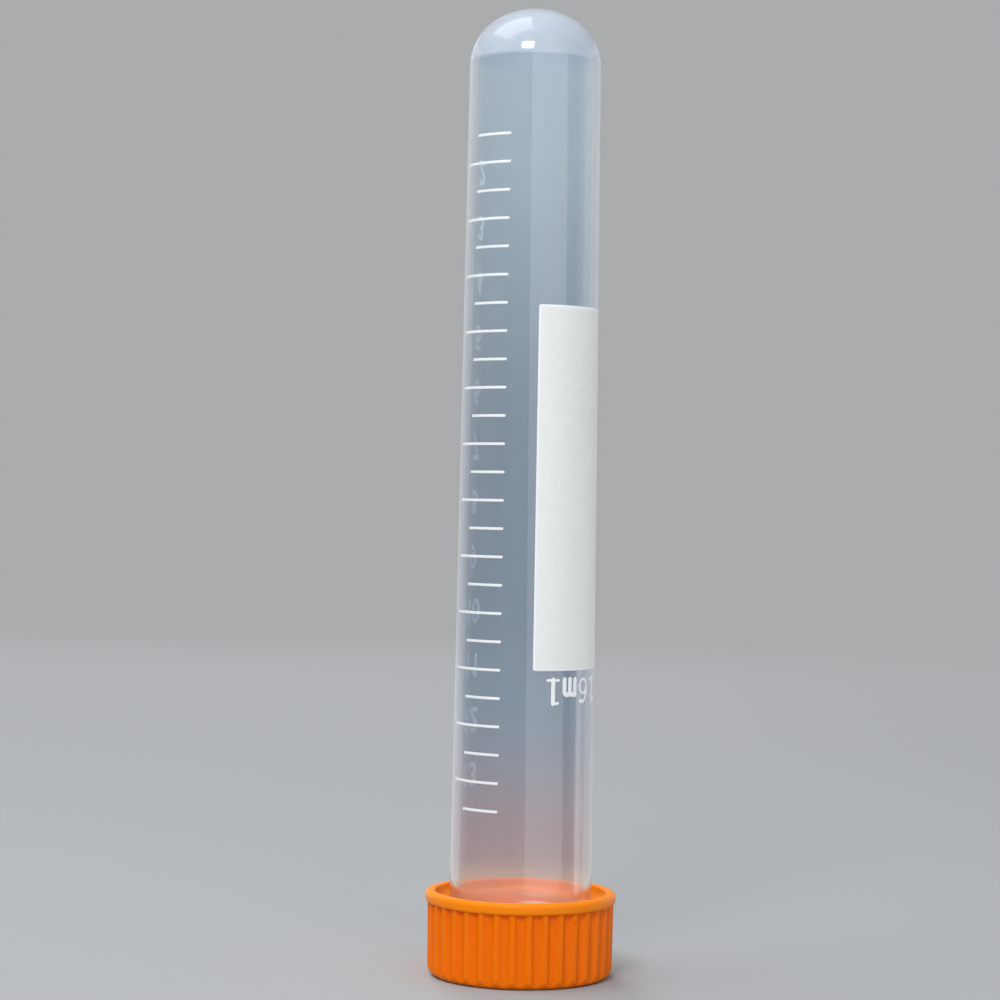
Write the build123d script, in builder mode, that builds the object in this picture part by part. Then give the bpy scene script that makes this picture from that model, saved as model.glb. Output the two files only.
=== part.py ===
from build123d import *
import os
from math import cos, radians, sin, tan

# A round-bottom sample tube with a ribbed screw cap, standing on the flat end of its cap.
# Z runs along the axis: 0 is the cap's flat face, the tube's dome points up.
# Every length is in millimetres.

# --- tube -----------------------------------------------------------------------------
TUBE_LENGTH = 111.0  # lip to the tip of the dome
LIP_DIAMETER = 16.7  # outside, at the lip
BARREL_END_DIAMETER = 15.35  # outside, where the barrel meets the dome
TUBE_WALL = 1.0
DOME_HEIGHT = 6.2
DOME_CORNER_ANGLE = 6.0  # how far the dome leans in where it meets the barrel, degrees
DOME_CROWN_HALF_ANGLE = 29.0  # reach of the flatter crown from the axis, degrees
LIP_CHAMFER = 0.3

# --- thread ---------------------------------------------------------------------------
THREAD_PITCH = 3.0
THREAD_TURNS = 1.25
THREAD_FLANK_ANGLE = 30.0  # between a flank and the plane square to the axis, degrees
THREAD_CREST_WIDTH = 0.6
THREAD_HEIGHT = 0.8  # how far the tube's thread stands out of its neck
THREAD_SET_BACK = 2.0  # from the lip to the middle of the thread where it starts
THREAD_RADIAL_CLEARANCE = 0.2  # crest to wall, on both pieces
THREAD_FLANK_CLEARANCE = 0.15  # between the loaded flanks, along the axis
THREAD_ROOT_SINK = 0.25  # how deep a thread's foot goes into the wall that carries it

# --- cap ------------------------------------------------------------------------------
CAP_HEIGHT = 9.9
CAP_END_THICKNESS = 1.3
SKIRT_WALL = 1.05  # from the hollow to the bottom of a grip groove
SKIRT_DRAFT = 0.7  # degrees
END_ROUND = 1.2
END_ROUND_FLATS = 3  # flats that the closed end's round edge is made of
RIM_HEIGHT = 1.35
RIM_STAND_OUT = 0.23  # beyond the ribs
RIM_CHAMFER = 0.5
MOUTH_RELIEF = 0.65  # how much the mouth opens out from the hollow's wall
MOUTH_CHAMFER = 0.3
GRIP_GROOVES = 36
GRIP_GROOVE_DEPTH = 0.5
GRIP_GROOVE_RADIUS = 0.7
CAP_THREAD_INSET = 0.3  # bare wall left beyond each end of the cap's thread

# --- sealing disc ---------------------------------------------------------------------
DISC_THICKNESS = 0.8
DISC_CLEARANCE = 0.1  # between the disc's edge and the cap's wall

# --- places that follow from the sizes above ------------------------------------------
disc_bottom = CAP_END_THICKNESS
lip_height = disc_bottom + DISC_THICKNESS
tip_height = lip_height + TUBE_LENGTH
barrel_end_height = tip_height - DOME_HEIGHT

lip_radius = LIP_DIAMETER / 2
barrel_end_radius = BARREL_END_DIAMETER / 2

tube_crest_radius = lip_radius + THREAD_HEIGHT
cap_wall_radius = tube_crest_radius + THREAD_RADIAL_CLEARANCE
cap_crest_radius = lip_radius + THREAD_RADIAL_CLEARANCE
flank_slope = tan(radians(THREAD_FLANK_ANGLE))
tube_thread_start = lip_height + THREAD_SET_BACK
# the cap's thread lies on the dome side of the tube's and draws the lip onto the disc
thread_offset = (
    THREAD_CREST_WIDTH
    + (tube_crest_radius - cap_crest_radius) * flank_slope
    + THREAD_FLANK_CLEARANCE
)

groove_bottom_radius = cap_wall_radius + SKIRT_WALL
skirt_radius = groove_bottom_radius + GRIP_GROOVE_DEPTH
rim_radius = skirt_radius + RIM_STAND_OUT
rim_under_height = CAP_HEIGHT - RIM_HEIGHT
closed_end_radius = skirt_radius - (rim_under_height - END_ROUND) * tan(radians(SKIRT_DRAFT))
mouth_radius = cap_wall_radius + MOUTH_RELIEF
mouth_cone_bottom = CAP_HEIGHT - MOUTH_CHAMFER - 2 * MOUTH_RELIEF

# the cap's thread fills the plain wall between the disc and the mouth
cap_thread_half_foot = THREAD_CREST_WIDTH / 2 + (
    cap_wall_radius - cap_crest_radius
) * flank_slope
cap_thread_bottom = lip_height + CAP_THREAD_INSET + cap_thread_half_foot
cap_thread_top = mouth_cone_bottom - CAP_THREAD_INSET - cap_thread_half_foot
cap_thread_start_turn = (cap_thread_bottom - tube_thread_start - thread_offset) / THREAD_PITCH


def dome_arcs(inset):
    """The dome's shoulder and crown, two tangent arcs lying inset inside its outer face.

    With the shoulder's radius s and the crown's s + d, the arcs span the barrel's end radius
    and the dome's height when
        s cos(lean) + d sin(reach) = radius
        s (1 - sin(lean)) + d (1 - cos(reach)) = height
    """
    lean = radians(DOME_CORNER_ANGLE)
    reach = radians(DOME_CROWN_HALF_ANGLE)
    determinant = cos(lean) * (1 - cos(reach)) - sin(reach) * (1 - sin(lean))
    shoulder_radius = (
        barrel_end_radius * (1 - cos(reach)) - DOME_HEIGHT * sin(reach)
    ) / determinant
    crown_radius = (
        shoulder_radius
        + (DOME_HEIGHT * cos(lean) - barrel_end_radius * (1 - sin(lean))) / determinant
    )
    shoulder = CenterArc(
        center=(
            barrel_end_radius - shoulder_radius * cos(lean),
            barrel_end_height - shoulder_radius * sin(lean),
        ),
        radius=shoulder_radius - inset,
        start_angle=DOME_CORNER_ANGLE,
        arc_size=90 - DOME_CROWN_HALF_ANGLE - DOME_CORNER_ANGLE,
    )
    crown = CenterArc(
        center=(0, tip_height - crown_radius),
        radius=crown_radius - inset,
        start_angle=90 - DOME_CROWN_HALF_ANGLE,
        arc_size=DOME_CROWN_HALF_ANGLE,
    )
    return shoulder, crown


def thread_form(foot_radius, crest_radius, height):
    """Trapezoid of one thread in the plane of the axis, with its crest at crest_radius."""
    half_crest = THREAD_CREST_WIDTH / 2
    half_foot = half_crest + abs(crest_radius - foot_radius) * flank_slope
    with BuildSketch(Plane.XZ) as form:
        with BuildLine():
            Polyline(
                (foot_radius, height - half_foot),
                (crest_radius, height - half_crest),
                (crest_radius, height + half_crest),
                (foot_radius, height + half_foot),
                close=True,
            )
        make_face()
    return form.sketch


def radius_of(edge):
    """Distance of an edge's middle from the Z axis."""
    middle = edge @ 0.5
    return (middle.X**2 + middle.Y**2) ** 0.5


def helical_thread(foot_radius, crest_radius, start_height, rise, start_turn):
    """A right-hand thread, its form carried round the axis while it climbs by rise."""
    with BuildPart() as thread:
        with BuildLine() as path:
            Helix(THREAD_PITCH, rise, crest_radius, center=(0, 0, start_height))
        sweep(thread_form(foot_radius, crest_radius, start_height), path=path.line, is_frenet=True)
        # the crest slopes down at each blunt end
        ends = thread.faces().filter_by(GeomType.PLANE)
        crest_edges = [
            min(end.edges(), key=lambda edge: abs(radius_of(edge) - crest_radius)) for end in ends
        ]
        for end, crest_edge in zip(ends, crest_edges):
            chamfer(crest_edge, THREAD_HEIGHT / 2, THREAD_HEIGHT, reference=end)
    return thread.part.rotate(Axis.Z, 360 * start_turn)


# --- the two threads, each fused later to the wall that carries it ----------------------
tube_thread = helical_thread(
    foot_radius=lip_radius - THREAD_ROOT_SINK,
    crest_radius=tube_crest_radius,
    start_height=tube_thread_start,
    rise=THREAD_PITCH * THREAD_TURNS,
    start_turn=0,
)
cap_thread = helical_thread(
    foot_radius=cap_wall_radius + THREAD_ROOT_SINK,
    crest_radius=cap_crest_radius,
    start_height=cap_thread_bottom,
    rise=cap_thread_top - cap_thread_bottom,
    start_turn=cap_thread_start_turn,
)

# --- tube: one moulding, drafted barrel, domed end and outside thread ------------------
with BuildPart() as tube:
    with BuildSketch(Plane.XZ):
        with BuildLine():
            outer_shoulder, outer_crown = dome_arcs(inset=0)
            inner_shoulder, inner_crown = dome_arcs(inset=TUBE_WALL)
            Polyline(
                outer_shoulder @ 0,
                (lip_radius, lip_height),
                (lip_radius - TUBE_WALL, lip_height),
                inner_shoulder @ 0,
            )
            Line(inner_crown @ 1, outer_crown @ 1)
        make_face()
    revolve(axis=Axis.Z)
    lip = tube.faces().filter_by(GeomType.PLANE).sort_by(Axis.Z)[0]
    chamfer(lip.edges(), LIP_CHAMFER)
    add(tube_thread)
tube.part.label = "tube"

# --- cap: one moulding, ribbed skirt, rim, inside thread -------------------------------
with BuildPart() as cap:
    # the wavy outline of the ribbed skirt
    with BuildSketch():
        Circle(skirt_radius)
        with PolarLocations(groove_bottom_radius + GRIP_GROOVE_RADIUS, GRIP_GROOVES):
            Circle(GRIP_GROOVE_RADIUS, mode=Mode.SUBTRACT)
    extrude(amount=rim_under_height)

    # the skirt narrows towards the closed end, whose round edge cuts the ribs to scallops
    end_edge = CenterArc(
        (closed_end_radius - END_ROUND, END_ROUND), END_ROUND, start_angle=-90, arc_size=90
    )
    with BuildSketch(Plane.XZ):
        with BuildLine():
            Polyline(
                (0, 0),
                *[end_edge @ (flat / END_ROUND_FLATS) for flat in range(END_ROUND_FLATS + 1)],
                (skirt_radius, rim_under_height),
                (0, rim_under_height),
                close=True,
            )
        make_face()
    revolve(axis=Axis.Z, mode=Mode.INTERSECT)

    # the plain rim band
    with BuildSketch(Plane.XY.offset(rim_under_height)):
        Circle(rim_radius)
    extrude(amount=RIM_HEIGHT)
    chamfer(cap.edges().filter_by(GeomType.CIRCLE).sort_by(Axis.Z)[-1], RIM_CHAMFER)

    # the hollow, which opens out at the mouth
    with BuildSketch(Plane.XZ):
        with BuildLine():
            Polyline(
                (0, disc_bottom),
                (cap_wall_radius, disc_bottom),
                (cap_wall_radius, mouth_cone_bottom),
                (mouth_radius, mouth_cone_bottom + MOUTH_RELIEF),
                (mouth_radius, CAP_HEIGHT),
                (0, CAP_HEIGHT),
                close=True,
            )
        make_face()
    revolve(axis=Axis.Z, mode=Mode.SUBTRACT)
    rim_top_edges = cap.edges().filter_by(GeomType.CIRCLE).group_by(Axis.Z)[-1]
    chamfer(rim_top_edges.sort_by(SortBy.RADIUS)[0], MOUTH_CHAMFER)
    add(cap_thread)
cap.part.label = "cap"

# --- sealing disc: lies on the cap's end, under the tube's lip --------------------------
with BuildPart() as sealing_disc:
    with BuildSketch(Plane.XY.offset(disc_bottom)):
        Circle(cap_wall_radius - DISC_CLEARANCE)
    extrude(amount=DISC_THICKNESS)
sealing_disc.part.label = "sealing_disc"

os.makedirs("parts", exist_ok=True)
export_step(tube.part, "parts/tube.step")
export_step(cap.part, "parts/cap.step")
export_step(sealing_disc.part, "parts/sealing_disc.step")
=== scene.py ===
"""Round-bottom sample tube of milky plastic, standing on its ribbed orange screw cap.

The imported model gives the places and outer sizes. The classes below work out the finer
surfaces of the tube, its print, the cap and the sealing disc with numpy, and dress them.
Lengths are in metres, angles in radians unless a name says degrees, and +Z runs from the
cap towards the domed end. Azimuths on the barrel are 0 at the front, -Y, and grow towards +X.
"""

import logging
import math
from dataclasses import dataclass
from enum import Enum

import bpy
import numpy as np
from mathutils import Matrix, Quaternion, Vector


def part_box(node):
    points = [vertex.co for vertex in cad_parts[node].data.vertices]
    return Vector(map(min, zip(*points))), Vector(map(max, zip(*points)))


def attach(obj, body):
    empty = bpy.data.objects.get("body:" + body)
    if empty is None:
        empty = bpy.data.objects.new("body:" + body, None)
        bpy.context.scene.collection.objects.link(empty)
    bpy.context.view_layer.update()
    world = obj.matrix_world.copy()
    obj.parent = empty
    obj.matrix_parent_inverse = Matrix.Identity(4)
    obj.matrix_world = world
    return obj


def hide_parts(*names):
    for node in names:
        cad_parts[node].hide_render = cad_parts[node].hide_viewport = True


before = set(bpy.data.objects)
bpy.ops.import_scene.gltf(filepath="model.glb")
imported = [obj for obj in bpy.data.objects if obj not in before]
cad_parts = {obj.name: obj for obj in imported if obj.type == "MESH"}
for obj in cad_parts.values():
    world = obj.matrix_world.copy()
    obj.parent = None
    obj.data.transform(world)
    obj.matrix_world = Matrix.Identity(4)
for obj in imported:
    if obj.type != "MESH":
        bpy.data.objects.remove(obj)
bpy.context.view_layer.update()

MM = 0.001
FULL_TURN = 2.0 * math.pi
REFRACTION = 1.49
# The cap's "raised" attribute is 0 in the grooves, 1 on the ribs and this on the rim, where the
# material paints a highlight.
RIM_MARK = 1.6
log = logging.getLogger("sample_tube")

Colour = tuple[float, float, float]
Place = tuple[float, float, float]
Spot = tuple[float, float]
Span = tuple[float, float, int]
Array = np.ndarray
Object = bpy.types.Object
Material = bpy.types.Material


class Body(Enum):
    """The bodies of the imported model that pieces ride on."""

    CAP = "cap"
    SEALING_DISC = "sealing_disc"
    TUBE = "tube"


class Slot(Enum):
    """The record's material slots."""

    TUBE = "tube_plastic"
    CAP = "cap_plastic"
    DISC = "disc_plastic"
    INK = "print_ink"


# --- surfaces --------------------------------------------------------------------------


class Form:
    """Whole-array formulas that the pieces' surfaces share."""

    @staticmethod
    def turned(radius: Array, height: Array, angle: Array) -> Array:
        """Points (radius cos angle, radius sin angle, height), rows by columns by 3."""
        radius, height, angle = np.broadcast_arrays(radius, height, angle)
        return np.stack([radius * np.cos(angle), radius * np.sin(angle), height], axis=-1)

    @staticmethod
    def smooth_min(first: Array, second: Array, blend: float) -> Array:
        """The lesser of two values with a round joint: (a + b - root((a - b)^2 + k^2)) / 2."""
        return 0.5 * (first + second - np.sqrt((first - second) ** 2 + blend**2))

    @staticmethod
    def ramp(value: Array, low: float, high: float) -> Array:
        """0 below low and 1 above high, joined by 3t^2 - 2t^3."""
        t = np.clip((value - low) / (high - low), 0.0, 1.0)
        return t * t * (3.0 - 2.0 * t)

    @staticmethod
    def oval(middle: Spot, halves: Spot, start: float, end: float, count: int) -> Array:
        """count points (x + a cos t, y + b sin t) of an oval, from start to end in degrees."""
        turn = np.radians(np.linspace(start, end, count))[:, None]
        return np.array(middle) + np.array(halves) * np.hstack([np.cos(turn), np.sin(turn)])

    @staticmethod
    def arc(middle: Spot, radius: float, start: float, end: float, count: int) -> Array:
        """count points (r, z) on a circle's arc, from start to end in degrees."""
        return Form.oval(middle, (radius, radius), start, end, count)

    @staticmethod
    def line(start: Spot, end: Spot, count: int) -> Array:
        """count evenly spaced points (r, z) from start to end."""
        return np.linspace(start, end, count)

    @staticmethod
    def round_angles(count: int) -> Array:
        """count angles, evenly spaced once round from 0."""
        return np.arange(count) * (FULL_TURN / count)

    @staticmethod
    def ring_faces(index: Array) -> list[list[int]]:
        """Joins the neighbours of a grid that closes round its columns.

        Args:
            index: the number of each point, rows by columns.

        Returns:
            The corners of each four-sided face.
        """
        beside = np.roll(index, -1, axis=1)
        faces = np.stack([index[:-1], index[1:], beside[1:], beside[:-1]], axis=-1)
        return faces.reshape(-1, 4).tolist()


def new_object(name: str, data: bpy.types.ID) -> Object:
    """Makes an object of its data and links it to the scene.

    Args:
        name: the object's name.
        data: its mesh, lamp or camera.

    Returns:
        The new object, at the origin.
    """
    obj = bpy.data.objects.new(name, data)
    bpy.context.scene.collection.objects.link(obj)
    return obj


class ClosedSurface:
    """Closed skins, each a grid of points that is joined round its columns and drawn to a
    pole at its first and last row. Several skins may share one mesh.
    """

    def __init__(self) -> None:
        """Starts with no skin."""
        self.points: list[Array] = []
        self.faces: list[list[int]] = []
        self.values: list[Array] = []
        self.count = 0

    def add(self, grid: Array, value: Array | None = None) -> None:
        """Adds one skin.

        A face lies between each pair of rows and columns, and looks along the row
        direction crossed with the column direction.

        Args:
            grid: points, rows by columns by 3. The first and last rows are poles.
            value: one number per grid point, kept as the mesh's own attribute.
        """
        rows, columns = grid.shape[:2]
        last = self.count + 1 + (rows - 2) * columns
        index = np.arange(self.count + 1, last).reshape(rows - 2, columns)
        self.faces += Form.ring_faces(index)
        start_fan = [np.full(columns, self.count), index[0], np.roll(index[0], -1)]
        end_fan = [index[-1], np.full(columns, last), np.roll(index[-1], -1)]
        for fan in (start_fan, end_fan):
            self.faces += np.stack(fan, axis=-1).tolist()
        self.points += [grid[:1, 0], grid[1:-1].reshape(-1, 3), grid[-1:, 0]]
        if value is not None:
            value = np.broadcast_to(value, (rows, columns))
            self.values += [value[:1, 0], value[1:-1].ravel(), value[-1:, 0]]
        self.count = last + 1

    def add_lens(self, upper: Array, lower: Array, kept: Array) -> None:
        """Adds a thin lens: the kept cells of two grids, joined along the kept cells' edge.

        Args:
            upper: points of the outer face, rows by columns by 3.
            lower: points of the inner face, on the same grid.
            kept: which cells are kept, one row and one column fewer than the points.
        """
        rows, columns = upper.shape[:2]
        border = np.pad(kept, 1)
        around = [border[y : y + rows, x : x + columns] for y in (0, 1) for x in (0, 1)]
        used, inner = np.any(around, axis=0), np.all(around, axis=0)
        top = self.count + np.cumsum(used).reshape(used.shape) - 1
        below = self.count + used.sum() + np.cumsum(inner).reshape(inner.shape) - 1
        bottom = np.where(inner, below, top)
        places = ((0, 0), (0, 1), (1, 1), (1, 0))
        corners = [(slice(y, y - 1 or None), slice(x, x - 1 or None)) for y, x in places]
        for index, order in ((top, corners), (bottom, corners[::-1])):
            self.faces += np.stack([index[corner][kept] for corner in order], axis=-1).tolist()
        self.points += [upper[used], lower[inner]]
        self.count += int(used.sum() + inner.sum())

    def piece(self, name: str, sharp_degrees: float, attribute: str = "") -> Object:
        """Makes the object, at the origin, with smooth shading.

        Args:
            name: name of the object and its mesh.
            sharp_degrees: edges that bend more than this stay sharp.
            attribute: name of the attribute that holds the values, if there are any.

        Returns:
            The new object, linked to the scene.
        """
        mesh = bpy.data.meshes.new(name)
        mesh.from_pydata(np.concatenate(self.points).tolist(), [], self.faces)
        mesh.polygons.foreach_set("use_smooth", np.ones(len(mesh.polygons), dtype=bool))
        mesh.set_sharp_from_angle(angle=math.radians(sharp_degrees))
        if attribute:
            layer = mesh.attributes.new(attribute, "FLOAT", "POINT")
            layer.data.foreach_set("value", np.concatenate(self.values).astype(np.float32))
        mesh.update()
        return new_object(name, mesh)


# --- shader expressions ----------------------------------------------------------------


class Signal:
    """A shader socket that joins in Python arithmetic. Each operator adds a Math node."""

    def __init__(self, sheet: "ShaderSheet", socket: bpy.types.NodeSocket) -> None:
        """Wraps an output socket of the sheet's node tree."""
        self.sheet = sheet
        self.socket = socket

    def _math(self, operation: str, first: "Signal | float", second: "Signal | float") -> "Signal":
        """One Math node on two values."""
        return self.sheet.node("Math", {"operation": operation}, {0: first, 1: second})

    def __add__(self, other: "Signal | float") -> "Signal":
        """self + other."""
        return self._math("ADD", self, other)

    def __radd__(self, other: float) -> "Signal":
        """other + self."""
        return self._math("ADD", other, self)

    def __sub__(self, other: "Signal | float") -> "Signal":
        """self - other."""
        return self._math("SUBTRACT", self, other)

    def __rsub__(self, other: float) -> "Signal":
        """other - self."""
        return self._math("SUBTRACT", other, self)

    def __mul__(self, other: "Signal | float") -> "Signal":
        """self times other."""
        return self._math("MULTIPLY", self, other)

    def __rmul__(self, other: float) -> "Signal":
        """other times self."""
        return self._math("MULTIPLY", other, self)

    def at_most(self, limit: float) -> "Signal":
        """The lesser of self and limit."""
        return self._math("MINIMUM", self, limit)

    def ramp(self, low: float, high: float) -> "Signal":
        """0 at low and 1 at high with soft ends. high may be the lower number."""
        inputs = {"Value": self, "From Min": low, "From Max": high}
        return self.sheet.node("MapRange", {"interpolation_type": "SMOOTHSTEP"}, inputs)


@dataclass(frozen=True)
class Grain:
    """A noise: its grains along a metre, how much finer it is along each axis, its octaves."""

    per_metre: float
    stretch: tuple[float, float, float] = (1.0, 1.0, 1.0)
    detail: float = 2.0


class ShaderSheet:
    """The node tree of one material, or of the world."""

    def __init__(self, name: str, for_world: bool = False) -> None:
        """Makes a material or a world with only an output node.

        Args:
            name: its name.
            for_world: makes a world and not a material.
        """
        maker = bpy.data.worlds if for_world else bpy.data.materials
        self.owner = maker.new(name)
        self.owner.use_nodes = True
        self.tree = self.owner.node_tree
        self.tree.nodes.clear()
        output = "ShaderNodeOutput" + ("World" if for_world else "Material")
        self.output = self.tree.nodes.new(output)

    def node(
        self,
        kind: str,
        settings: dict[str, object] | None = None,
        inputs: dict[str | int, object] | None = None,
        output: str | int = 0,
    ) -> Signal:
        """Adds a node.

        Args:
            kind: the node's type without its ShaderNode prefix.
            settings: the node's own properties, set first.
            inputs: values, or signals to link, by socket name or number.
            output: the output socket that is wanted.

        Returns:
            That output as a Signal.
        """
        made = self.tree.nodes.new("ShaderNode" + kind)
        for key, value in (settings or {}).items():
            setattr(made, key, value)
        for key, value in (inputs or {}).items():
            if isinstance(value, Signal):
                self.tree.links.new(value.socket, made.inputs[key])
            else:
                made.inputs[key].default_value = value
        return Signal(self, made.outputs[output])

    def place(self) -> Signal:
        """Object coordinates, in metres."""
        return self.node("TexCoord", output="Object")

    def height(self) -> Signal:
        """The Z of the object coordinates."""
        return self.node("SeparateXYZ", inputs={0: self.place()}, output="Z")

    def attribute(self, name: str) -> Signal:
        """The number that the mesh holds under this name."""
        return self.node("Attribute", {"attribute_name": name}, output="Fac")

    def noise(self, grain: Grain) -> Signal:
        """Noise between 0 and 1.

        Args:
            grain: how fine the noise is.

        Returns:
            The noise's value.
        """
        scale = tuple(grain.per_metre * share for share in grain.stretch)
        placed = self.node("Mapping", inputs={"Vector": self.place(), "Scale": scale})
        inputs = {"Vector": placed, "Scale": 1.0, "Detail": grain.detail}
        return self.node("TexNoise", inputs=inputs)

    def blend(
        self, share: "Signal | float", first: "Signal | Colour", second: "Signal | Colour"
    ) -> Signal:
        """Mixes two colours.

        Args:
            share: 0 for the first colour and 1 for the second.
            first: a colour, or a signal that holds one.
            second: the same.

        Returns:
            The mixed colour.
        """
        first, second = ((*c, 1.0) if isinstance(c, tuple) else c for c in (first, second))
        settings = {"data_type": "RGBA", "clamp_factor": True}
        return self.node("Mix", settings, {"Factor": share, 6: first, 7: second}, output=2)

    def bump(self, height: Signal, strength: float, depth: float) -> Signal:
        """A normal that follows height, where a rise from 0 to 1 is depth metres."""
        inputs = {"Height": height, "Strength": strength, "Distance": depth}
        return self.node("Bump", inputs=inputs)

    def principled(self, **inputs: object) -> Signal:
        """A Principled node. Socket names have underscores for their spaces."""
        named = {key.replace("_", " "): value for key, value in inputs.items()}
        return self.node("BsdfPrincipled", inputs=named)

    def mix(self, share: "Signal | float", first: Signal, second: Signal) -> Signal:
        """A Mix Shader that goes from first to second as share goes from 0 to 1."""
        return self.node("MixShader", inputs={0: share, 1: first, 2: second})

    def seen(self) -> Signal:
        """Tells what the camera sees from what only lights the scene.

        Returns:
            1 where a place is seen straight, in a reflection or through the plastic.
        """
        kinds = ("Camera", "Glossy", "Transmission")
        straight, mirrored, through = (self.node("LightPath", output=f"Is {k} Ray") for k in kinds)
        return (straight + mirrored + through).at_most(1.0)

    def show(self, shader: Signal) -> Material | bpy.types.World:
        """Connects the shader to the output and returns the material or world."""
        self.tree.links.new(shader.socket, self.output.inputs["Surface"])
        return self.owner


# --- finishes --------------------------------------------------------------------------


@dataclass(frozen=True)
class MilkyPlastic:
    """Clear-milky moulded plastic: a small share of the light scatters at each skin and
    the rest goes through, so that print on the far side shows faintly. Its colour is painted
    lighter towards the dome for light from above, and warm towards the cap for the cap's orange
    glow.
    """

    # Lighter colour towards the dome: painted light from above.
    upper: Colour = (0.86, 0.945, 1.0)
    middle: Colour = (0.605, 0.675, 0.755)
    # Pinkish colour towards the cap: painted orange glow from the cap.
    lower: Colour = (0.78, 0.645, 0.65)
    # Lighter, warm colour at the neck: clearer plastic there, tinted with painted orange glow from
    # the cap.
    neck: Colour = (0.98, 0.835, 0.72)
    cloud: Colour = (0.88, 0.92, 0.95)
    tint: Colour = (0.90, 0.93, 0.96)
    clearness: float = 0.92
    roughness: float = 0.06
    # Heights over which the painted light from above fades in.
    painted_top_light_from: float = 60.0 * MM
    painted_top_light_to: float = 112.0 * MM
    # Heights over which the painted orange glow from the cap fades in, towards the cap and at the
    # neck.
    painted_cap_glow_from: float = 33.0 * MM
    painted_cap_glow_to: float = 12.0 * MM
    clear_neck_painted_glow_from: float = 14.3 * MM
    clear_neck_painted_glow_to: float = 10.5 * MM
    thread_roughness: float = 0.45
    thread_from: float = 9.6 * MM
    thread_to: float = 8.4 * MM
    flow_grain: Grain = Grain(300.0, (1.0, 1.0, 0.04))
    flow_floor: float = 0.42
    flow_share: float = 0.7
    flow_bump: float = 0.2
    flow_depth: float = 0.01 * MM
    cloud_grain: Grain = Grain(60.0, (1.0, 1.0, 0.5), 3.0)
    cloud_floor: float = 0.45
    cloud_share: float = 0.4
    cloud_roughness: float = 0.05

    def material(self, name: str) -> Material:
        """Builds the material, whose colour changes in faint flow lines and with height: lighter
        towards the dome as painted light from above, warm towards the cap as painted orange glow
        from the cap.

        Args:
            name: the material's name.

        Returns:
            The material.
        """
        sheet = ShaderSheet(name)
        height = sheet.height()
        flow = sheet.noise(self.flow_grain)
        cloud = sheet.noise(self.cloud_grain)
        # Painted light: lighter towards the dome for light from above, then warm towards the cap
        # for the cap's orange glow.
        colour = sheet.blend(height.ramp(self.painted_top_light_from, self.painted_top_light_to), self.middle, self.upper)
        colour = sheet.blend(height.ramp(self.painted_cap_glow_from, self.painted_cap_glow_to), colour, self.lower)
        colour = sheet.blend(height.ramp(self.clear_neck_painted_glow_from, self.clear_neck_painted_glow_to), colour, self.neck)
        milk = (flow - self.flow_floor) * self.flow_share
        milk = milk + (cloud - self.cloud_floor) * self.cloud_share
        colour = sheet.blend(milk, colour, self.cloud)
        rough = height.ramp(self.thread_from, self.thread_to) * self.thread_roughness
        shader = sheet.principled(
            Base_Color=colour,
            Roughness=rough + (cloud - 0.5) * self.cloud_roughness + self.roughness,
            IOR=REFRACTION,
            Transmission_Weight=self.clearness,
            Normal=sheet.bump(flow, self.flow_bump, self.flow_depth),
        )
        through = sheet.node("BsdfTransparent", inputs={"Color": (*self.tint, 1.0)})
        lamp_ray = sheet.node("LightPath", output="Is Shadow Ray")
        return sheet.show(sheet.mix(lamp_ray * self.clearness, shader, through))


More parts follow.
